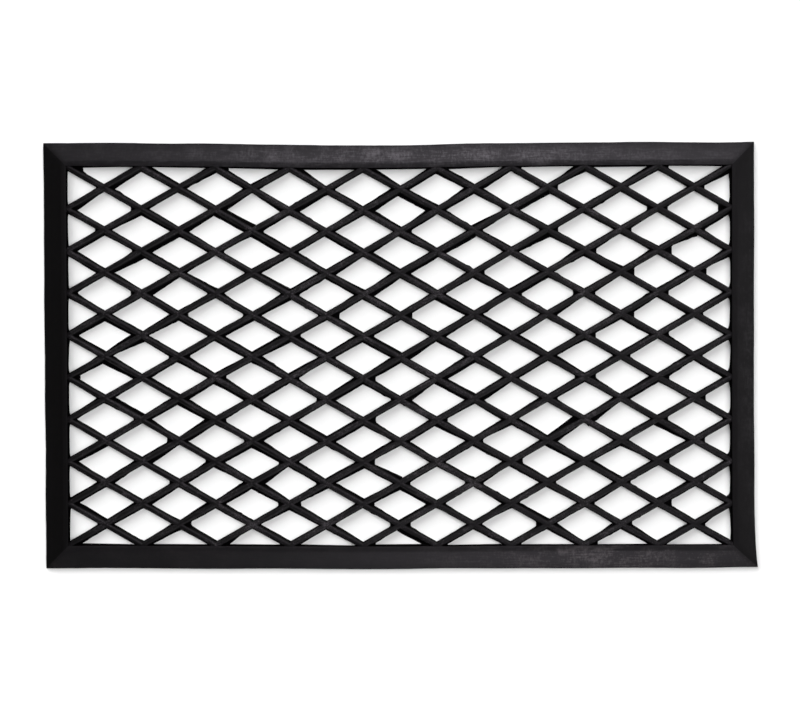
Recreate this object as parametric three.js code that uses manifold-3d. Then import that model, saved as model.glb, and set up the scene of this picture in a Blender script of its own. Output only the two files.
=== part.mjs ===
// A rubber door mat: a bevelled rim around an open diamond lattice, all on one level.
//
// The rim is four rails, mitred at the corners. The lattice is two families of straight ribs,
// rising (up to the right) and falling (down to the right). Where two ribs cross, each gives up
// half its height, as in a half-lap joint, so that their tops and undersides stay level.
//
// Millimetres. The origin is the middle of the underside, +X runs along the mat's long side,
// +Y runs from its front edge to its back edge, and +Z points up.

import * as THREE from 'three';
import { mergeVertices } from 'three/addons/utils/BufferGeometryUtils.js';
import Module from 'manifold-3d';

const wasm = await Module();
wasm.setup();

// Driving dimensions.
const MAT_LENGTH = 762;
const MAT_WIDTH = 457.2;
const RIM_WIDTH = 25.4;
const RIM_HEIGHT = 10.5;
const LIP_HEIGHT = 5.0;
const BEVEL_WIDTH = 20.2;
const BAND_ROUND = 0.6;

const CELLS_PER_SIDE = 9;
const RIB_HEIGHT = 9.8;
const SHOULDER_HEIGHT = 6.8;
const RIB_BASE = 8.0;
const RIB_SHOULDER = 6.6;
const RIB_CREST = 2.6;

// Neighbouring solids stand this far apart. A cutting solid reaches OVERCUT past what it cuts.
const GAP = 0.3;
const OVERCUT = 1.0;

// The opening inside the rim is CELLS_PER_SIDE diamonds long and as many wide. Half a diamond's
// side is the distance along a rib from one crossing to the next.
const OPENING_LENGTH = MAT_LENGTH - 2 * RIM_WIDTH;
const OPENING_WIDTH = MAT_WIDTH - 2 * RIM_WIDTH;
const PITCH_X = OPENING_LENGTH / CELLS_PER_SIDE;
const PITCH_Y = OPENING_WIDTH / CELLS_PER_SIDE;
const CROSSING_STEP = Math.hypot(PITCH_X, PITCH_Y) / 2;
const RIB_ANGLE = Math.atan2(PITCH_Y, PITCH_X);
const OUTERMOST_RIB = CELLS_PER_SIDE - 1;

const rimRubber = new THREE.MeshStandardMaterial({ color: 0x2b2a2d, roughness: 0.62, metalness: 0 });
const ribRubber = new THREE.MeshStandardMaterial({ color: 0x222124, roughness: 0.66, metalness: 0 });

// A closed outline from its corner points.
function outline(points) {
  return new THREE.Shape(points.map(([x, y]) => new THREE.Vector2(x, y)));
}

// A bar along X, centred on the origin, whose section is drawn as (across, up).
function bar(section, length) {
  const geometry = new THREE.ExtrudeGeometry(section, { depth: length, bevelEnabled: false });
  geometry.translate(0, 0, -length / 2);
  const alongX = new THREE.Matrix4().makeBasis(
    new THREE.Vector3(0, 1, 0),
    new THREE.Vector3(0, 0, 1),
    new THREE.Vector3(1, 0, 0),
  );
  return geometry.applyMatrix4(alongX);
}

// Rails: one side of the rim each.

// The rail's section, with Y measured inwards from the mat's outer edge: a thin lip, a long
// bevel that a shoe or a wheel rides up, and a narrow flat band with eased edges.
function railSection() {
  return outline([
    [0, 0],
    [RIM_WIDTH, 0],
    [RIM_WIDTH, RIM_HEIGHT - BAND_ROUND],
    [RIM_WIDTH - BAND_ROUND, RIM_HEIGHT],
    [BEVEL_WIDTH, RIM_HEIGHT],
    [0, LIP_HEIGHT],
  ]);
}

// Each end is cut at 45 degrees: a point that lies further in moves that much closer to the
// middle. Half the joint's gap comes off each end.
function railGeometry(length) {
  const geometry = bar(railSection(), length);
  const position = geometry.attributes.position;
  const jointGap = (GAP / 2) * Math.SQRT2;
  for (let i = 0; i < position.count; i += 1) {
    const end = Math.sign(position.getX(i));
    const inwards = position.getY(i);
    position.setX(i, position.getX(i) - end * (inwards + jointGap));
  }
  geometry.computeVertexNormals();
  return geometry;
}

function rail(name, length, x, y, turn) {
  const mesh = new THREE.Mesh(railGeometry(length), rimRubber);
  mesh.name = name;
  mesh.position.set(x, y, 0);
  mesh.rotation.z = turn;
  return mesh;
}

// Ribs: the straight bars of the lattice.

// Half the rib's width at a height above the underside: the flanks lean in slightly to the
// shoulders, then the crown slopes in to a narrow crest.
function halfWidth(height) {
  const { lerp, clamp } = THREE.MathUtils;
  if (height <= SHOULDER_HEIGHT) {
    return lerp(RIB_BASE, RIB_SHOULDER, clamp(height / SHOULDER_HEIGHT, 0, 1)) / 2;
  }
  const up = (height - SHOULDER_HEIGHT) / (RIB_HEIGHT - SHOULDER_HEIGHT);
  return lerp(RIB_SHOULDER, RIB_CREST, clamp(up, 0, 1)) / 2;
}

// The rib's section between two heights, with a margin added on both sides.
function ribSection(low, high, margin) {
  const corners = [0, SHOULDER_HEIGHT, RIB_HEIGHT].filter((height) => height > low && height < high);
  const right = [low, ...corners, high].map((height) => [halfWidth(height) + margin, height]);
  const left = right.map(([x, height]) => [-x, height]).reverse();
  return outline([...right, ...left]);
}

// A three.js geometry as a manifold-3d solid.
function toSolid(geometry) {
  const bare = geometry.clone();
  bare.deleteAttribute('normal');
  bare.deleteAttribute('uv');
  const merged = mergeVertices(bare, 1e-4);
  const mesh = new wasm.Mesh({
    numProp: 3,
    vertProperties: new Float32Array(merged.attributes.position.array),
    triVerts: new Uint32Array(merged.index.array),
  });
  return new wasm.Manifold(mesh);
}

// A manifold-3d solid as a three.js geometry.
function toGeometry(solid) {
  const mesh = solid.getMesh();
  const geometry = new THREE.BufferGeometry();
  geometry.setAttribute('position', new THREE.BufferAttribute(mesh.vertProperties, mesh.numProp));
  geometry.setIndex(new THREE.BufferAttribute(mesh.triVerts, 1));
  geometry.computeVertexNormals();
  return geometry;
}

// Where a rib lies: its middle and its turn. The rib numbered 0 is on the opening's diagonal,
// and its neighbours are half a diamond away on each side, up to the two corner ribs.
function ribPlace(number, turn) {
  const side = Math.sign(turn);
  const middle = new THREE.Vector3((-side * number * PITCH_X) / 2, (number * PITCH_Y) / 2, 0);
  const rotation = new THREE.Quaternion().setFromAxisAngle(new THREE.Vector3(0, 0, 1), turn);
  return new THREE.Matrix4().compose(middle, rotation, new THREE.Vector3(1, 1, 1));
}

// The room inside the rim as the rib sees it: an upright block, less the gap at the rails.
function openingSeenFrom(place) {
  const block = new THREE.BoxGeometry(
    OPENING_LENGTH - 2 * GAP,
    OPENING_WIDTH - 2 * GAP,
    2 * (RIB_HEIGHT + OVERCUT),
  );
  return toSolid(block.applyMatrix4(place.clone().invert()));
}

// The notch for one crossing, where the other rib passes at a whole number of steps.
function lapCut(section, step, turn) {
  const cut = bar(section, 4 * RIB_BASE);
  cut.rotateZ(-2 * turn);
  cut.translate(step * CROSSING_STEP, 0, 0);
  return toSolid(cut);
}

// A rib ends at the rails. It meets a rib of the other family at every step, its two ends
// included, except for the corners of the opening, where no other rib arrives.
function ribGeometry(number, turn, lap) {
  const reach = CELLS_PER_SIDE - Math.abs(number);
  const blank = bar(ribSection(0, RIB_HEIGHT, 0), 2 * (reach * CROSSING_STEP + RIB_BASE));
  let solid = toSolid(blank).intersect(openingSeenFrom(ribPlace(number, turn)));
  for (let step = -reach; step <= reach; step += 1) {
    if (Math.abs(step) <= OUTERMOST_RIB) {
      solid = solid.subtract(lapCut(lap, step, turn));
    }
  }
  return toGeometry(solid);
}

// All the ribs of one family, numbered from 1 at the front edge.
function ribFamily(family, turn, lap) {
  const group = new THREE.Group();
  for (let number = -OUTERMOST_RIB; number <= OUTERMOST_RIB; number += 1) {
    const mesh = new THREE.Mesh(ribGeometry(number, turn, lap), ribRubber);
    const count = String(number + OUTERMOST_RIB + 1).padStart(2, '0');
    mesh.name = `${family}_rib_${count}`;
    mesh.applyMatrix4(ribPlace(number, turn));
    group.add(mesh);
  }
  return group;
}

// Rising ribs are notched from below and falling ribs from above, up or down to half height.
const lapBelow = ribSection(-OVERCUT, (RIB_HEIGHT + GAP) / 2, GAP);
const lapAbove = ribSection((RIB_HEIGHT - GAP) / 2, RIB_HEIGHT + OVERCUT, GAP);

const doorMat = new THREE.Group();
doorMat.add(
  rail('front_rail', MAT_LENGTH, 0, -MAT_WIDTH / 2, 0),
  rail('back_rail', MAT_LENGTH, 0, MAT_WIDTH / 2, Math.PI),
  rail('left_rail', MAT_WIDTH, -MAT_LENGTH / 2, 0, -Math.PI / 2),
  rail('right_rail', MAT_WIDTH, MAT_LENGTH / 2, 0, Math.PI / 2),
  ribFamily('rising', RIB_ANGLE, lapBelow),
  ribFamily('falling', -RIB_ANGLE, lapAbove),
);

export default doorMat;
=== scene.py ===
# %% [markdown]
# # A moulded rubber door mat
#
# The mat is one slab of black rubber, pressed in a heated mould: four bevelled rails round an
# open lattice of ribs. The frame gives each rail and each rib as a plain straight bar at its
# real size and place. This script puts a moulded, slightly irregular rubber member where each
# bar is: rounded crests, thin ragged flash where rubber crept between the two halves of the
# mould, a trimmed outer edge, and the gentle bend of a soft mat that has just been laid down.

# %% Load the frame
import math
import random

import bmesh
import bpy
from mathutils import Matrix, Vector, noise


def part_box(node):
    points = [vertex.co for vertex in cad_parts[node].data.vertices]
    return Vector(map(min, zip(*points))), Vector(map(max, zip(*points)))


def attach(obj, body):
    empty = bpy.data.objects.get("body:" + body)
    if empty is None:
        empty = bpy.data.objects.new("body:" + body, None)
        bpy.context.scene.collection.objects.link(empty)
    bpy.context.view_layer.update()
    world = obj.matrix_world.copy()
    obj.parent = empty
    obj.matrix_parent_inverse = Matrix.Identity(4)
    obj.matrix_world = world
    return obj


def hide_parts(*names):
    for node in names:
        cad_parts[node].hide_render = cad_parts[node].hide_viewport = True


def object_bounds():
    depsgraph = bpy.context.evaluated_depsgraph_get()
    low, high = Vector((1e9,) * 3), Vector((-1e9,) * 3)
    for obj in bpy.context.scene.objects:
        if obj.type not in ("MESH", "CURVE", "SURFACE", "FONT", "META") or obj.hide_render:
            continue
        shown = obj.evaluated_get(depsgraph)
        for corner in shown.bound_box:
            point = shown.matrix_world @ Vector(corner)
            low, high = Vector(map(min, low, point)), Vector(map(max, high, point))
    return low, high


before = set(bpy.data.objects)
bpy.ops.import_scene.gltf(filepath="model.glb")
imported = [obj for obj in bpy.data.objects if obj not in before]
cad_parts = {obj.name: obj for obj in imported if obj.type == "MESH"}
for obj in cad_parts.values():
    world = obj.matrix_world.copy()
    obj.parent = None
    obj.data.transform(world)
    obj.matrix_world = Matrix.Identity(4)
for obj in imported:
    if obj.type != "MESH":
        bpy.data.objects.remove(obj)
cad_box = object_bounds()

MM = 0.001

# %% [markdown]
# ## Sizes, all taken from the frame
#
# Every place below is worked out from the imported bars, so the rubber lands where the bars are.
# The lattice is counted too: a lattice of n by n diamonds has 2n - 1 ribs in each direction.

# %% Read the mat's driving sizes
HALF_LENGTH = cad_box[1].x
HALF_WIDTH = cad_box[1].y
RIM_HEIGHT = cad_box[1].z
RIM_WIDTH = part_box("left_rail")[1].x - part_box("left_rail")[0].x
RIB_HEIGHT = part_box("rising_rib_09")[1].z

RIB_COUNT = sum(name.startswith("rising_rib_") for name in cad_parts)
CELLS = (RIB_COUNT + 1) // 2
OPENING_X = 2 * (HALF_LENGTH - RIM_WIDTH)
OPENING_Y = 2 * (HALF_WIDTH - RIM_WIDTH)
PITCH_X = OPENING_X / CELLS
PITCH_Y = OPENING_Y / CELLS
STEP = math.hypot(PITCH_X, PITCH_Y) / 2
ANGLE = math.atan2(PITCH_Y, PITCH_X)
COS, SIN, TAN = math.cos(ANGLE), math.sin(ANGLE), math.tan(ANGLE)

print(f"mat {2 * HALF_LENGTH:.4f} x {2 * HALF_WIDTH:.4f} x {RIM_HEIGHT:.4f} m")
print(f"lattice {CELLS} x {CELLS} diamonds, ribs at {math.degrees(ANGLE):.1f} degrees")

# %% [markdown]
# ## Camera
#
# The mat lies flat and is seen from straight above. A long lens far away keeps the ribs near
# the edges from leaning outwards. The height follows from the lens, so that the floor in view
# is a little longer than the mat.

# %% Place the camera over the middle of the mat
VIEW_LENGTH = 0.8584
LENS = 100
SENSOR = 36

camera = bpy.data.objects.new("camera", bpy.data.cameras.new("camera"))
camera.data.lens = LENS
camera.data.sensor_width = SENSOR
camera.location = (0, 0, VIEW_LENGTH * LENS / SENSOR)
bpy.context.scene.collection.objects.link(camera)
bpy.context.scene.camera = camera
print(f"camera {camera.location.z:.2f} m above the floor")

# %% [markdown]
# ## How the soft mat lies
#
# A rubber mat is never quite square. Here the left end leans, the long rails sag towards the
# front near their middle, the right end is pulled in, and its front corner flicks outwards.
# A lattice modifier could bend the mat too. A formula was chosen because each of its terms is
# one thing that the mat does, and because it moves rails and ribs alike, so they stay together.

# %% The bend of the whole mat
# The left end leans: its back corner goes out and its front corner goes in.
LEAN = 1.7 * MM
LEAN_POWER = 1.5
# The long rails sag towards the front, most of all the back one.
SAG = 3.0 * MM
SAG_CENTRE = -45 * MM
SAG_REACH = 160 * MM
BACK_SHARE = (0.62, 0.22, 0.16)
# The front edge is tucked in, the lattice settles forwards, and the mat turns a little: its
# right end goes backwards and its left end forwards.
TUCK = 0.4 * MM
SETTLE = 0.65 * MM
TURN = 0.8 * MM
# The right end is pulled in, but for its front corner, which flicks out.
PULL = 1.3 * MM
PULL_POWER = 3
CORNER_POWER = 6
FLICK = (3.0 * MM, 1.2 * MM)
FLICK_REACH = 26 * MM


def lie(x, y):
    """Where a point of a perfectly square mat ends up on this one."""
    across = y / HALF_WIDTH
    along = x / HALF_LENGTH
    front_share = 0.5 - 0.5 * across
    back_share = BACK_SHARE[0] + BACK_SHARE[1] * across + BACK_SHARE[2] * across ** 3
    sag = SAG * back_share * math.exp(-(((x - SAG_CENTRE) / SAG_REACH) ** 2))
    lean = LEAN * across * max(-along, 0) ** LEAN_POWER
    pull = PULL * max(along, 0) ** PULL_POWER * (1 - front_share ** CORNER_POWER)
    back = TUCK * front_share - SETTLE * (1 - across ** 2) + TURN * along * back_share
    flick = math.exp(-math.hypot(x - HALF_LENGTH, y + HALF_WIDTH) / FLICK_REACH)
    return x - lean - pull + FLICK[0] * flick, y - sag + back + FLICK[1] * flick


print("corners move", [
    [round((there - here) / MM, 1) for here, there in zip((x, y), lie(x, y))]
    for x in (-HALF_LENGTH, HALF_LENGTH) for y in (-HALF_WIDTH, HALF_WIDTH)
], "mm")

# %% [markdown]
# ## Smooth chance
#
# Irregular edges look moulded when they wander smoothly and look broken when they jump. This
# helper reads Blender's built-in gradient noise at a place, so neighbouring points agree, and
# the same script always makes the same mat. A pattern's number says which part of the noise is
# read. For their feet and the sway of their crests, rising ribs read the part after that number
# and falling ribs the part before it.

# %% Noise helpers
PATTERN_STEP = (5.3, 2.9, 7.7)
TOP_WAVE, TRIM_TREMBLE, TRIM_DRIFT = 1, 2, 3
FOOT_BOW, FOOT_TREMBLE, FOOT_NICK = 4, 7, 10
CREST_DRIFT, CREST_LIFT = 8, 12


def wander(place, size, pattern):
    """A smooth number from about -1 to 1 that changes over `size`."""
    start = Vector([pattern * step for step in PATTERN_STEP])
    return noise.noise(Vector(place) / size + start)


def soft_min(a, b, blend):
    """The smaller of two lengths, with the switch from one to the other rounded off."""
    overlap = max(blend - abs(a - b), 0) / blend
    return min(a, b) - overlap * overlap * blend / 4


# %% [markdown]
# ## Making a member
#
# A rail or a rib is a section swept along a line. Blender can sweep a curve's bevel, but then
# every section is the same. Here each ring of points is worked out on its own, so the flash can
# widen and the crest can wander along the way, and the rings are joined by faces and capped.

# %% Join rings of points into one closed body
SHARP_EDGE = math.radians(40)


def sweep(name, rings):
    """A closed mesh object through equal rings of points, capped at both ends."""
    count = len(rings[0])
    body = bmesh.new()
    rows = [[body.verts.new(point) for point in ring] for ring in rings]
    for here, there in zip(rows, rows[1:]):
        for i in range(count):
            j = (i + 1) % count
            body.faces.new((here[i], here[j], there[j], there[i]))
    body.faces.new(rows[0][::-1])
    body.faces.new(rows[-1])
    bmesh.ops.recalc_face_normals(body, faces=body.faces)
    mesh = bpy.data.meshes.new(name)
    body.to_mesh(mesh)
    body.free()
    mesh.shade_smooth()
    mesh.set_sharp_from_angle(angle=SHARP_EDGE)
    piece = bpy.data.objects.new(name, mesh)
    bpy.context.scene.collection.objects.link(piece)
    return piece


def stand_for(piece, node, material):
    """Give a finished piece its rubber and its body, and hide the bar that it stands for."""
    piece.data.materials.append(material)
    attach(piece, "root")
    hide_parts(node)


# %% [markdown]
# ## Shader groups
#
# Black rubber is not one black. Wax and fine powder come up to the surface as a pale, streaky
# bloom; the mould leaves a fine grain; and what stands proud is rubbed paler than what lies
# deep. Each effect is a node group with named inputs, built once and placed in each rubber
# with its own values, so the members look related and not alike.

# %% Helpers for nodes


def add(tree, kind, **settings):
    """A new node with some of its settings."""
    node = tree.nodes.new(kind)
    for key, value in settings.items():
        setattr(node, key, value)
    return node


def feed(tree, socket, value):
    """Give a socket its value: a constant, or the output of another node."""
    if isinstance(value, bpy.types.NodeSocket):
        tree.links.new(value, socket)
    else:
        socket.default_value = value


def figure(tree, operation, *values, clamp=False):
    """The output of a Math node."""
    node = add(tree, "ShaderNodeMath", operation=operation, use_clamp=clamp)
    for socket, value in zip(node.inputs, values):
        feed(tree, socket, value)
    return node.outputs["Value"]


def vector_figure(tree, operation, *values):
    """The output of a Vector Math node: a number for a length or a dot product."""
    node = add(tree, "ShaderNodeVectorMath", operation=operation)
    for socket, value in zip(node.inputs, values):
        feed(tree, socket, value)
    return node.outputs["Value" if operation in ("LENGTH", "DOT_PRODUCT") else "Vector"]


def ramp(tree, value, start, end, low=0, high=1, kind="SMOOTHSTEP"):
    """Turn the levels from `start` to `end` into the levels from `low` to `high`."""
    node = add(tree, "ShaderNodeMapRange", interpolation_type=kind)
    for label, level in (("Value", value), ("From Min", start), ("From Max", end),
                         ("To Min", low), ("To Max", high)):
        feed(tree, node.inputs[label], level)
    return node.outputs["Result"]


def noise_at(tree, place, scale, detail, roughness=0.5):
    """Noise between 0 and 1, with `scale` changes per unit of the place."""
    node = add(tree, "ShaderNodeTexNoise")
    for label, value in (("Vector", place), ("Scale", scale), ("Detail", detail),
                         ("Roughness", roughness)):
        feed(tree, node.inputs[label], value)
    return node.outputs["Fac"]


def upward_part(tree, vector):
    """How far a direction or a place goes up."""
    split = add(tree, "ShaderNodeSeparateXYZ")
    feed(tree, split.inputs["Vector"], vector)
    return split.outputs["Z"]


# %% A helper for node groups
FLOAT = "NodeSocketFloat"
VECTOR = "NodeSocketVector"


def new_group(name, inputs, output):
    """A shader node group with its sockets made, and its input and output nodes."""
    group = bpy.data.node_groups.new(name, "ShaderNodeTree")
    for label, kind, value in inputs:
        socket = group.interface.new_socket(label, in_out="INPUT", socket_type=kind)
        socket.default_value = value
    group.interface.new_socket(output, in_out="OUTPUT", socket_type=FLOAT)
    return group, group.nodes.new("NodeGroupInput"), group.nodes.new("NodeGroupOutput")


# %% [markdown]
# ### Wiped bloom
#
# Bloom shows most where the mat is handled. The mask is an oval on the rubber, broken up by
# fine streaks along the member, brush marks across it and soft patches. Streaks and brush marks
# are noises, stretched by the number of changes per metre in each direction. Where they add up
# to more than the threshold, bloom shows, and the contrast says how soft its edges are.

# %% Bloom group
STREAK_DETAIL = 5
STREAK_ROUGHNESS = 0.72
PATCHES_PER_METRE = 45
PATCH_SHARE = 0.5


def make_bloom():
    """A mask of streaky bloom."""
    group, given, result = new_group(
        "Wiped bloom",
        [("Centre", VECTOR, (0, 0, 0)), ("Reach", VECTOR, (1, 1, 1)),
         ("Streaks", VECTOR, (120, 600, 600)), ("Brush Marks", VECTOR, (600, 140, 140)),
         ("Threshold", FLOAT, 1.18), ("Contrast", FLOAT, 0.32), ("Elsewhere", FLOAT, 0.15)],
        "Mask",
    )
    place = add(group, "ShaderNodeTexCoord").outputs["Object"]
    away = vector_figure(group, "SUBTRACT", place, given.outputs["Centre"])
    oval = vector_figure(group, "DIVIDE", away, given.outputs["Reach"])
    distance = vector_figure(group, "LENGTH", oval)
    area = ramp(group, distance, 1, 0, low=given.outputs["Elsewhere"])
    drawn = [
        vector_figure(group, "MULTIPLY", place, given.outputs[label])
        for label in ("Streaks", "Brush Marks")
    ]
    layers = [noise_at(group, way, 1, STREAK_DETAIL, STREAK_ROUGHNESS) for way in drawn]
    patches = noise_at(group, place, PATCHES_PER_METRE, 1)
    total = figure(group, "MULTIPLY_ADD", patches, PATCH_SHARE, figure(group, "ADD", *layers))
    risen = figure(group, "SUBTRACT", total, given.outputs["Threshold"])
    speckled = figure(group, "DIVIDE", risen, given.outputs["Contrast"], clamp=True)
    mask = figure(group, "MULTIPLY", speckled, area, clamp=True)
    group.links.new(mask, result.inputs["Mask"])
    return group


BLOOM = make_bloom()
print(f"{BLOOM.name}: {len(BLOOM.nodes)} nodes")

# %% [markdown]
# ### Rubbed heights and painted shade
#
# The mask is the height above the floor, from one level to another and a little ragged, and it
# counts only where the rubber faces up: a steep flank stays as black as its foot. It is partly
# wear, since feet and brooms only reach the top of the mat, and partly painted shade: the low
# places and the steep flanks, where shade falls, are kept darker than the tops that face the
# light.

# %% Height and painted shade group
RAGGED_SCALE = 180
RAGGED_DETAIL = 4
STEEP, LEVEL = 0.35, 0.9


def make_wear_and_shade():
    """A mask of what stands proud and faces up: partly wear, partly painted shade."""
    group, given, result = new_group(
        "Rubbed height and painted shade",
        [("Low", FLOAT, 0.0), ("High", FLOAT, 0.01), ("Raggedness", FLOAT, 0.001)],
        "Mask",
    )
    place = add(group, "ShaderNodeTexCoord").outputs["Object"]
    ragged = figure(group, "SUBTRACT", noise_at(group, place, RAGGED_SCALE, RAGGED_DETAIL), 0.5)
    level = upward_part(group, place)
    height = figure(group, "MULTIPLY_ADD", ragged, given.outputs["Raggedness"], level)
    proud = ramp(group, height, given.outputs["Low"], given.outputs["High"])
    normal = add(group, "ShaderNodeNewGeometry").outputs["Normal"]
    # Painted shade: rubber that faces sideways or down stays dark.
    facing_up = ramp(group, upward_part(group, normal), STEEP, LEVEL)
    group.links.new(figure(group, "MULTIPLY", proud, facing_up), result.inputs["Mask"])
    return group


HEIGHT = make_wear_and_shade()
print(f"{HEIGHT.name}: {len(HEIGHT.nodes)} nodes")

# %% [markdown]
# ### Moulded grain
#
# Up close, moulded rubber has a fine leathery grain, and shallow dimples where air was trapped.
# Two noises at different scales are added into one height for a Bump node.

# %% Grain group
FINE_DETAIL = 3
DIMPLE_DETAIL = 4


def make_grain():
    """A height of fine grain and wider dimples."""
    group, given, result = new_group(
        "Moulded grain",
        [("Stretch", VECTOR, (1, 1, 1)), ("Fine Scale", FLOAT, 1800),
         ("Dimple Scale", FLOAT, 160), ("Fine Amount", FLOAT, 0.3),
         ("Dimple Amount", FLOAT, 0.7)],
        "Height",
    )
    place = add(group, "ShaderNodeTexCoord").outputs["Object"]
    stretched = vector_figure(group, "MULTIPLY", place, given.outputs["Stretch"])
    layers = []
    for kind, detail in (("Fine", FINE_DETAIL), ("Dimple", DIMPLE_DETAIL)):
        layer = noise_at(group, stretched, given.outputs[f"{kind} Scale"], detail)
        layers.append(figure(group, "MULTIPLY", layer, given.outputs[f"{kind} Amount"]))
    group.links.new(figure(group, "ADD", *layers), result.inputs["Height"])
    return group


GRAIN = make_grain()
print(f"{GRAIN.name}: {len(GRAIN.nodes)} nodes")

# %% [markdown]
# ## The rubbers
#
# One function mixes a rubber from the groups: deep black in the low places, dark grey on the
# heights and a pale bloom over both. The black low down and on the steep flanks is partly painted
# shade. The rubber under them is quite dull. All of the sheen is in a waxy coat, which is
# thickest on the heights and thin or missing on the flanks. The long rails, the short rails and
# the ribs each get their own mix, because bloom streaks run along the member and each is handled
# differently.

# %% Mix a rubber
RUBBER_ROUGHNESS = 0.9
WAX_ROUGHNESS = 0.46


def place_group(tree, group, values):
    """A group's node with some of its inputs set."""
    node = add(tree, "ShaderNodeGroup", node_tree=group)
    for label, value in values.items():
        node.inputs[label].default_value = value
    return node


def mixed(tree, kind, mask, low, high):
    """The output of a Mix node of colours or numbers. `low` and `high` are values or sockets."""
    mix = add(tree, "ShaderNodeMix", data_type=kind)
    first, second, out = (6, 7, 2) if kind == "RGBA" else (2, 3, 0)
    for slot, value in ((0, mask), (first, low), (second, high)):
        feed(tree, mix.inputs[slot], value)
    return mix.outputs[out]


def rubber(name, deep, proud, bloomed, wax, bloom, height, grain, bump):
    """Rubber with its three colours, its wax (deep, proud) and its group values."""
    material = bpy.data.materials.new(name)
    material.use_nodes = True
    tree = material.node_tree
    shader = tree.nodes["Principled BSDF"]
    wear_and_shade = place_group(tree, HEIGHT, height).outputs["Mask"]
    speckles = place_group(tree, BLOOM, bloom).outputs["Mask"]
    # Painted shade: the low places and the steep flanks take the darker deep colour, the tops the
    # paler proud one.
    body = mixed(tree, "RGBA", wear_and_shade, (*deep, 1), (*proud, 1))
    relief = add(tree, "ShaderNodeBump")
    relief.inputs["Distance"].default_value = bump
    feed(tree, relief.inputs["Height"], place_group(tree, GRAIN, grain).outputs["Height"])
    for label, value in (
        ("Base Color", mixed(tree, "RGBA", speckles, body, (*bloomed, 1))),
        ("Roughness", RUBBER_ROUGHNESS),
        ("Specular IOR Level", 0),
        ("Normal", relief.outputs["Normal"]),
        ("Coat Weight", mixed(tree, "FLOAT", wear_and_shade, *wax)),
        ("Coat Roughness", WAX_ROUGHNESS),
        ("Coat Normal", relief.outputs["Normal"]),
    ):
        feed(tree, shader.inputs[label], value)
    print(f"mixed {name}")
    return material


# %% The four mixes
# Deep is the black of the low places and steep flanks; it is darker than proud partly as painted
# shade.
DEEP = (0.0014, 0.0012, 0.0014)
PROUD = (0.0032, 0.0028, 0.0033)
DULL = (0.0015, 0.0013, 0.0014)
RIB_PROUD = (0.0014, 0.0012, 0.0014)
BACK_BLOOM = (0.066, 0.060, 0.067)
FRONT_BLOOM = (0.070, 0.061, 0.064)
SIDE_BLOOM = (0.016, 0.015, 0.016)
RIB_BLOOM = (0.045, 0.040, 0.045)

back_rail_rubber = rubber(
    "back_rail_rubber",
    deep=DEEP, proud=PROUD, bloomed=BACK_BLOOM, wax=(0.0, 1.0),
    bloom={"Centre": (0.04, 0.214, 0.008), "Reach": (0.38, 0.016, 0.02),
           "Streaks": (70, 650, 650), "Brush Marks": (420, 200, 200), "Contrast": 0.36},
    height={"Low": -0.003, "High": 0.0095},
    grain={"Stretch": (0.35, 1, 1)},
    bump=0.0002,
)
front_rail_rubber = rubber(
    "front_rail_rubber",
    deep=DEEP, proud=PROUD, bloomed=FRONT_BLOOM, wax=(0.0, 1.0),
    bloom={"Centre": (0.24, -0.216, 0.007), "Reach": (0.27, 0.020, 0.02), "Elsewhere": 0.08,
           "Streaks": (55, 700, 700), "Brush Marks": (380, 220, 220), "Contrast": 0.38},
    height={"Low": -0.006, "High": 0.0095},
    grain={"Stretch": (0.35, 1, 1)},
    bump=0.0002,
)
side_rail_rubber = rubber(
    "side_rail_rubber",
    deep=DEEP, proud=DULL, bloomed=SIDE_BLOOM, wax=(0.0, 0.72),
    bloom={"Centre": (0.38, 0, 0.006), "Reach": (0.03, 0.3, 0.02), "Elsewhere": 0.02,
           "Streaks": (600, 100, 600), "Brush Marks": (300, 300, 300)},
    height={"Low": -0.008, "High": 0.006},
    grain={"Stretch": (1, 0.35, 1)},
    bump=0.00015,
)
rib_rubber = rubber(
    "rib_rubber",
    deep=DEEP, proud=RIB_PROUD, bloomed=RIB_BLOOM, wax=(0.10, 0.78),
    bloom={"Centre": (0, 0, 0.01), "Reach": (1, 1, 0.004), "Elsewhere": 0.02,
           "Streaks": (450, 450, 450), "Brush Marks": (900, 900, 900),
           "Threshold": 1.36, "Contrast": 0.12},
    height={"Low": 0.001, "High": 0.0075},
    grain={"Fine Scale": 800, "Fine Amount": 0.6},
    bump=0.0003,
)

# %% [markdown]
# ## The outlines of the diamonds
#
# Where the halves of the mould meet, rubber creeps out as flash, and the flash is cut away by
# hand. So every diamond has four straight but slightly skew sides. Rubber also stays as a web in
# the sharp corners: nearly always in the left one and now and then in the right one. Two ribs
# and sometimes a rail share an outline, so all the outlines are drawn up first. Places are
# counted in half diamonds from the middle.

# %% How diamonds vary, in millimetres
# Each side's distance from its rib's middle line, and its tilt: the average and the spread.
SIDE_OFFSET = {"upper_left": (4.55, 1.05), "upper_right": (3.95, 1.2),
               "lower_right": (3.9, 0.9), "lower_left": (4.1, 0.85)}
SIDE_TILT = {"upper_left": (-1.0, 2.3), "upper_right": (-0.9, 1.4),
             "lower_right": (1.2, 1.6), "lower_left": (-0.9, 1.5)}
SLIMMEST_SIDE = 3.4
# Feet are fullest left of the middle: a constant, a slope and a curve along the mat.
FULLNESS = (0.22, -0.42, -0.6)
# How far from its crossing a corner is cut: the average, its slope along the mat, the spread.
LEFT_CUT = (10.5, 1.2, 1.8)
RIGHT_CUT = (5.0, -2.0, 3.0)
BIG_CUT = 17
# The flash at a rail's foot: its least and its most, and the spread of its tilt.
RIM_FLASH = (0.1, 1.5)
RIM_TILT = 1.3

# %% Draw up the outlines
chance = random.Random(18)


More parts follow.
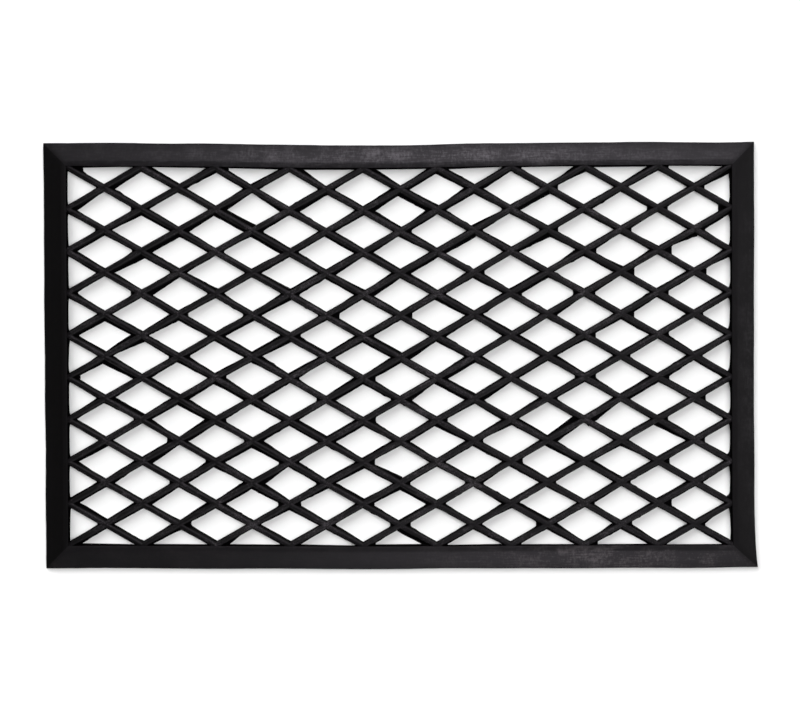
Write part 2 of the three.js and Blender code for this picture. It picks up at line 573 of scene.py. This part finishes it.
def draw_outline(share):
    """One diamond's outline. `share` runs from -1 to 1 along the mat."""
    fuller = FULLNESS[0] + FULLNESS[1] * share + FULLNESS[2] * share ** 2
    drawn = {
        side: (max(chance.gauss(*SIDE_OFFSET[side]) + fuller, SLIMMEST_SIDE) * MM,
               chance.gauss(*SIDE_TILT[side]) * MM)
        for side in SIDE_OFFSET
    }
    left = LEFT_CUT[0] + LEFT_CUT[1] * share + chance.gauss(0, LEFT_CUT[2])
    right = RIGHT_CUT[0] + RIGHT_CUT[1] * share + abs(chance.gauss(0, RIGHT_CUT[2]))
    rim = (chance.uniform(*RIM_FLASH) * MM, chance.gauss(0, RIM_TILT) * MM)
    return {**drawn, "left": left * MM, "right": right * MM, "rim": rim}


OUTLINE = {
    (column, row): draw_outline(column / CELLS)
    for column in range(-CELLS, CELLS + 1) for row in range(-CELLS, CELLS + 1)
}
# The half diamond in the back left corner has one thick web.
OUTLINE[1 - CELLS, CELLS]["left"] = BIG_CUT * MM
print(f"{len(OUTLINE)} outlines")

# %% [markdown]
# ## The rails
#
# A rail has a low outer lip, a long bevel that a shoe or a wheel rides up, a narrow flat band
# and a steep inner wall with a fringe of flash at its foot. Its ends are mitred. Near a mitre
# the height follows the nearer of the two outer edges, with the switch rounded, so both rails
# reach the same soft crease.

# %% The height of a rail's top
LIP = 5.0 * MM
BEVEL = 19.6 * MM
BEVEL_CROWN = 0.2 * MM
BAND_EASE = 0.15 * MM


def rail_top(inwards):
    """The height of the bevel or the band, a distance in from the outer edge."""
    along_bevel = inwards / BEVEL
    crown = BEVEL_CROWN * math.sin(math.pi * min(max(along_bevel, 0), 1))
    bevel = LIP + (RIM_HEIGHT - LIP) * along_bevel + crown
    return soft_min(bevel, RIM_HEIGHT, BAND_EASE)


print(f"lip {rail_top(0) / MM:.1f} mm high, band {rail_top(RIM_WIDTH) / MM:.1f} mm high")

# %% The flash at a rail's foot
RIB_HALF_FOOT = 3.9 * MM
CORNER_REACH = 3.0 * MM
LEAST_FLASH = 0.1 * MM


def rim_flash(side, way):
    """How far flash reaches into the opening, a way along a rail from its middle. It is
    straight for each half diamond, and rounds the corners where the ribs arrive."""
    pitch = PITCH_X if side["long"] else PITCH_Y
    rib_foot = RIB_HALF_FOOT / (SIN if side["long"] else COS)
    cell = math.floor(way / pitch + CELLS / 2)
    from_middle = way / pitch + CELLS / 2 - cell - 0.5
    column = 2 * cell + 1 - CELLS
    place = {"front_rail": (column, -CELLS), "back_rail": (-column, CELLS),
             "right_rail": (CELLS, column), "left_rail": (-CELLS, -column)}[side["name"]]
    place = tuple(max(min(number, CELLS), -CELLS) for number in place)
    offset, tilt = OUTLINE[place]["rim"]
    from_rib = max((0.5 - abs(from_middle)) * pitch - rib_foot, 0)
    rounding = side["rounding"] * math.exp(-from_rib / CORNER_REACH)
    return max((offset + tilt * from_middle) * side["flash"], LEAST_FLASH) + rounding


# %% One ring of a rail
# A wander is how far it goes and the length over which it changes.
TOP_WANDER = (0.10 * MM, 28 * MM)
TREMBLE = (0.10 * MM, 9 * MM)
DRIFT = (0.9 * MM, 70 * MM)
STEADY_END = 12 * MM
CREASE = 7.0 * MM
INNER_FLASH = 0.8 * MM
LIP_END = 1.3
TOP_POINTS = (LIP_END, 2.5, 5, 8, 11, 14, 17, 18.8, 19.6, 20.4, 22, 24.4)


def rail_ring(side, along, half):
    """The points of one section. `along` runs from -1 to 1 between the mitres."""
    turn = Vector((math.cos(side["turn"]), math.sin(side["turn"])))
    inward = Vector((-turn.y, turn.x))

    def place(inwards, height):
        way = along * (half - inwards)
        x, y = (way * turn + (inwards - side["offset"]) * inward)
        return x, y, height

    def top(inwards):
        end_distance = half - abs(along) * (half - inwards)
        wave = TOP_WANDER[0] * wander(place(inwards, 0), TOP_WANDER[1], TOP_WAVE)
        return inwards, rail_top(soft_min(inwards, end_distance, CREASE)) + wave

    middle = place(RIM_WIDTH, 0)
    steady = min((1 - abs(along)) * half / STEADY_END, 1)
    trim = steady * (TREMBLE[0] * wander(middle, TREMBLE[1], TRIM_TREMBLE)
                     + DRIFT[0] * wander(middle, DRIFT[1], TRIM_DRIFT))
    flash = RIM_WIDTH + steady * rim_flash(side, along * (half - RIM_WIDTH))
    lip_top = top(LIP_END * MM)[1]
    section = [
        # The outer edge: eased at the floor, and cut so that it slants inwards on its way up.
        (trim + 0.25 * MM, 0),
        (trim, 0.3 * MM),
        (trim + 0.55 * MM, lip_top - 0.8 * MM),
        (trim * 0.8 + 0.75 * MM, lip_top - 0.3 * MM),
        # The bevel and the band.
        *(top(inwards * MM) for inwards in TOP_POINTS),
        # The inner wall, then the flash.
        (RIM_WIDTH - 0.2 * MM, RIM_HEIGHT - 0.2 * MM),
        (RIM_WIDTH, RIM_HEIGHT - 0.8 * MM),
        (RIM_WIDTH + 0.15 * MM, INNER_FLASH + 0.5 * MM),
        (min(RIM_WIDTH + 0.5 * MM, flash), INNER_FLASH),
        (flash, INNER_FLASH * 0.8),
        (flash, 0),
    ]
    ring = [place(inwards, height) for inwards, height in section]
    return [(*lie(x, y), z) for x, y, z in ring]


# %% Sweep the four rails
RAIL_RING_STEP = 2.0 * MM
# `flash` scales the fringe, and `rounding` is how far it fills the corners beside the ribs.
SIDES = {
    "front_rail": {"turn": 0, "long": True, "rubber": front_rail_rubber,
                   "flash": 1, "rounding": 0},
    "right_rail": {"turn": math.pi / 2, "long": False, "rubber": side_rail_rubber,
                   "flash": 0.8, "rounding": 3.2 * MM},
    "back_rail": {"turn": math.pi, "long": True, "rubber": back_rail_rubber,
                  "flash": 1, "rounding": 0},
    "left_rail": {"turn": -math.pi / 2, "long": False, "rubber": side_rail_rubber,
                  "flash": 0.5, "rounding": 1.0 * MM},
}

for node, side in SIDES.items():
    side["name"] = node
    half = HALF_LENGTH if side["long"] else HALF_WIDTH
    side["offset"] = HALF_WIDTH if side["long"] else HALF_LENGTH
    count = round(2 * half / RAIL_RING_STEP)
    rings = [rail_ring(side, 2 * i / count - 1, half) for i in range(count + 1)]
    piece = sweep(f"{node}_rubber", rings)
    stand_for(piece, node, side["rubber"])
    print(f"{node}: {len(piece.data.polygons)} faces")

# %% [markdown]
# ## The ribs
#
# A rib has steep flanks and a rounded crest, as a ball-nosed cutter leaves in the mould, and
# flash along both feet. Flash and crest wander along the rib. Rings are set close where a web
# begins and ends, and wider apart elsewhere.

# %% A rib and its place in the lattice
# Half widths: at the root of the flash, and at the shoulder.
RIB_ROOT = 3.45 * MM
RIB_SHOULDER = 3.15 * MM
SHOULDER_HEIGHT = 7.0 * MM
# The families differ a little in height, so that no two faces coincide where ribs cross.
FLASH_THICKNESS = {"rising": 0.95 * MM, "falling": 0.8 * MM}
CREST_DROP = {"rising": 0.0, "falling": 0.06 * MM}


class Rib:
    """One rib of a family: its line, its crossings and the outlines beside it."""

    def __init__(self, family, number):
        self.slope = 1 if family == "rising" else -1
        self.reach = CELLS - abs(number)
        self.number = number
        self.middle = Vector((-self.slope * number * PITCH_X / 2, number * PITCH_Y / 2))
        self.way = Vector((COS, self.slope * SIN))
        self.across = Vector((-self.way.y, self.way.x))
        self.flash = FLASH_THICKNESS[family]
        self.crest = RIB_HEIGHT - CREST_DROP[family]

    def place(self, along, across, height):
        """A point of the rib on the mat as it lies."""
        x, y = self.middle + along * self.way + across * self.across
        return (*lie(x, y), height)

    def outline_beside(self, step, side):
        """The outline beside the stretch from one crossing to the next."""
        column = -self.slope * self.number + step
        row = self.number + self.slope * step
        if self.slope > 0:
            return OUTLINE.get((column, row + 1) if side > 0 else (column + 1, row))
        return OUTLINE.get((column + 1, row) if side > 0 else (column, row - 1))

    def side_name(self, side):
        """Which side of the diamond the rib makes."""
        if self.slope > 0:
            return "lower_right" if side > 0 else "upper_left"
        return "lower_left" if side > 0 else "upper_right"


# %% How far the flash reaches from a rib's middle line
# A foot's wander: how far it goes, over what length, and how far apart its two sides read it.
BOW = (0.5 * MM, 19 * MM, 0.02)
FOOT_RIPPLE = (0.2 * MM, 5 * MM, 0.01)
NICK = (1.6 * MM, 7 * MM, 0.03)
NICK_LEVEL = 0.38
PLAIN_FOOT = RIB_ROOT + 0.4 * MM
SLIMMEST_FOOT = RIB_ROOT + 0.05 * MM
WEB_OVERLAP = 0.3 * MM


def foot_width(rib, side, along):
    """The foot's half width: the diamond's side, or the web in its corner where that is wider."""
    step = math.floor(along / STEP)
    ahead = along - step * STEP
    outline = rib.outline_beside(step, side)
    if outline is None:
        return PLAIN_FOOT
    x, y = rib.middle + along * rib.way

    def wandered(size, apart, pattern):
        return wander((x, y, side * apart), size, pattern + rib.slope)

    offset, tilt = outline[rib.side_name(side)]
    width = offset + tilt * (ahead / STEP - 0.5)
    width += BOW[0] * wandered(*BOW[1:], FOOT_BOW)
    width += FOOT_RIPPLE[0] * wandered(*FOOT_RIPPLE[1:], FOOT_TREMBLE)
    width += NICK[0] * max(wandered(*NICK[1:], FOOT_NICK) - NICK_LEVEL, 0)
    # The diamond's sharp corner on this side, and the distance along the rib from it.
    corner = "left" if rib.slope * side < 0 else "right"
    distance = ahead if corner == "left" else STEP - ahead
    to_level = distance * TAN + WEB_OVERLAP
    cut = (outline[corner] - distance * COS) / SIN
    return max(width, min(to_level, cut), SLIMMEST_FOOT)


# %% One ring of a rib
CREST_SWAY = (0.22 * MM, 45 * MM)
CREST_RIPPLE = (0.10 * MM, 24 * MM)
CREST_ANGLES = (0, 24, 44, 62, 77)


def rib_ring(rib, along):
    """The points of one section: foot, flank, dome, flank, foot."""
    x, y = rib.middle + along * rib.way
    drift = CREST_SWAY[0] * wander((x, y, 0), CREST_SWAY[1], CREST_DRIFT + rib.slope)
    lift = CREST_RIPPLE[0] * wander((x, y, 0), CREST_RIPPLE[1], CREST_LIFT)
    crown = rib.crest - SHOULDER_HEIGHT

    def flank(side):
        foot = foot_width(rib, side, along)
        return [
            (foot, 0),
            (foot - 0.08 * MM, rib.flash * 0.85),
            (RIB_ROOT + 0.25 * MM, rib.flash),
            (RIB_ROOT, rib.flash + 0.35 * MM),
        ]

    dome = [
        (RIB_SHOULDER * math.cos(math.radians(angle)) + drift,
         SHOULDER_HEIGHT + crown * math.sin(math.radians(angle)) + lift)
        for angle in (*CREST_ANGLES, 90, *(180 - angle for angle in reversed(CREST_ANGLES)))
    ]
    other = [(-across, height) for across, height in reversed(flank(-1))]
    return [rib.place(along, across, height) for across, height in (*flank(1), *dome, *other)]


# %% Where the rings go
RIB_RING_STEP = 1.6 * MM
END_AT_LONG_RAIL = 8.0 * MM
END_AT_SHORT_RAIL = 3.5 * MM
# Web ends stay this far from the rib's ends, and evenly spaced rings twice as far from them.
NEAREST = 0.35 * MM
# How far half of a usual foot reaches along the mat's length.
FOOT_REACH = 2.1 * MM


def web_ends(rib):
    """Distances along the rib of both ends of each web's cut edge."""
    for step in range(-rib.reach, rib.reach):
        for side in (1, -1):
            at_left = rib.slope * side < 0
            cut = rib.outline_beside(step, side)["left" if at_left else "right"]
            for distance in (cut * COS, (cut - FOOT_REACH) / COS):
                yield step * STEP + distance if at_left else (step + 1) * STEP - distance


def stations(rib):
    """Distances along the rib: an even spacing, and the ends of the webs."""
    into_rail = {-1: END_AT_SHORT_RAIL, 1: END_AT_SHORT_RAIL}
    if rib.number:
        into_rail[1 if rib.slope * rib.number > 0 else -1] = END_AT_LONG_RAIL
    start = -rib.reach * STEP - into_rail[-1]
    end = rib.reach * STEP + into_rail[1]
    special = [s for s in sorted(web_ends(rib)) if start + NEAREST < s < end - NEAREST]
    count = round((end - start) / RIB_RING_STEP)
    even = [start + (end - start) * i / count for i in range(count + 1)]
    kept = [s for s in even[1:-1] if all(abs(s - t) > NEAREST * 2 for t in special)]
    return sorted([start, *kept, *special, end])


# %% Sweep the ribs
for family in ("rising", "falling"):
    faces = 0
    for index in range(RIB_COUNT):
        node = f"{family}_rib_{index + 1:02d}"
        rib = Rib(family, index - (CELLS - 1))
        piece = sweep(f"{node}_rubber", [rib_ring(rib, along) for along in stations(rib)])
        stand_for(piece, node, rib_rubber)
        faces += len(piece.data.polygons)
    print(f"{family} ribs: {RIB_COUNT} pieces, {faces} faces")

# %% [markdown]
# ## Studio
#
# A plain white floor under two very soft suns, one on the upper left and one nearly overhead,
# which give the soft shadows and light the floor evenly to the horizon. They are set not to
# glint in the rubber. Small softboxes above, behind, in front and to the right do the opposite:
# they are only what the ribs and bevels mirror. So shadows and sheen can be set apart.

# %% Floor
FLOOR_HALF = 40
FLOOR_LEVEL = -0.2 * MM
FLOOR_WHITE = 0.88

floor_mesh = bpy.data.meshes.new("floor")
floor_corners = ((-1, -1), (1, -1), (1, 1), (-1, 1))
floor_mesh.from_pydata(
    [(x * FLOOR_HALF, y * FLOOR_HALF, FLOOR_LEVEL) for x, y in floor_corners],
    [], [(0, 1, 2, 3)],
)
floor = bpy.data.objects.new("floor", floor_mesh)
bpy.context.scene.collection.objects.link(floor)
floor_paint = bpy.data.materials.new("floor_paint")
floor_paint.use_nodes = True
paint = floor_paint.node_tree.nodes["Principled BSDF"]
paint.inputs["Base Color"].default_value = (FLOOR_WHITE, FLOOR_WHITE, FLOOR_WHITE, 1)
paint.inputs["Roughness"].default_value = 0.9
paint.inputs["Specular IOR Level"].default_value = 0.1
floor_mesh.materials.append(floor_paint)
print(f"floor {2 * FLOOR_HALF} m across")

# %% Lamps
GLINT_TINT = (1.0, 0.93, 1.04)


def add_lamp(name, kind, place):
    """A lamp that faces the middle of the mat."""
    lamp = bpy.data.objects.new(name, bpy.data.lights.new(name, kind))
    lamp.location = place
    lamp.rotation_euler = (-Vector(place)).to_track_quat("-Z", "Y").to_euler()
    bpy.context.scene.collection.objects.link(lamp)
    print(f"{name} at {place}")
    return lamp


def soft_sun(name, place, spread, strength):
    """Even light from one side of the sky, `spread` degrees across, that never glints."""
    lamp = add_lamp(name, "SUN", place)
    lamp.data.angle = math.radians(spread)
    lamp.data.energy = strength
    lamp.visible_glossy = False


def softbox(name, place, size, power):
    """A rectangular lamp that only glints."""
    lamp = add_lamp(name, "AREA", place)
    lamp.data.shape = "RECTANGLE"
    lamp.data.size, lamp.data.size_y = size
    lamp.data.energy = power
    lamp.data.color = GLINT_TINT
    lamp.visible_diffuse = False


soft_sun("shadow_sun", (-1.8, 2.3, 2.05), 53, 3.3)
soft_sun("ceiling_sun", (0.8, 0.0, 2.9), 41, 2.0)
softbox("ceiling_softbox", (0.12, 0.18, 1.2), (0.5, 0.5), 0.30)
softbox("back_softbox", (0.16, 0.85, 1.05), (0.9, 0.3), 4.1)
softbox("front_softbox", (0.26, -0.80, 0.90), (0.5, 0.25), 1.68)
softbox("right_softbox", (1.05, 0.05, 1.05), (0.4, 0.6), 0.82)

# %% [markdown]
# ### The room
#
# A white horizon that the floor runs into, a grey band above it and a dim ceiling, so that the
# rubber stays dark seen from above. The band is paler on the right, which gives each falling rib
# a light and a dark flank.

# %% World
# Levels are how far a direction goes up, from 0 at the horizon to 1 overhead.
HORIZON_TOP = (0.08, 0.2)
BAND_TOP = (0.1, 0.55)
BAND_STRENGTH, CEILING_STRENGTH = 0.6, 0.025
PALE_SIDE = (1, 0, 0)

world = bpy.data.worlds.new("studio")
world.use_nodes = True
bpy.context.scene.world = world
tree = world.node_tree
direction = add(tree, "ShaderNodeTexCoord").outputs["Generated"]
level = upward_part(tree, direction)
band = ramp(tree, level, *BAND_TOP, low=BAND_STRENGTH, high=CEILING_STRENGTH)
towards = vector_figure(tree, "DOT_PRODUCT", direction, PALE_SIDE)
side_share = ramp(tree, towards, -1, 1, low=0, high=2, kind="LINEAR")
horizon = ramp(tree, level, *HORIZON_TOP, low=1, high=0)
strength = figure(tree, "MULTIPLY_ADD", band, side_share, horizon)
background = tree.nodes["Background"]
feed(tree, background.inputs["Strength"], strength)
background.inputs["Color"].default_value = (1, 1, 1, 1)
bpy.context.scene.view_settings.view_transform = "Standard"
print(f"{world.name} with {len(tree.nodes)} nodes")
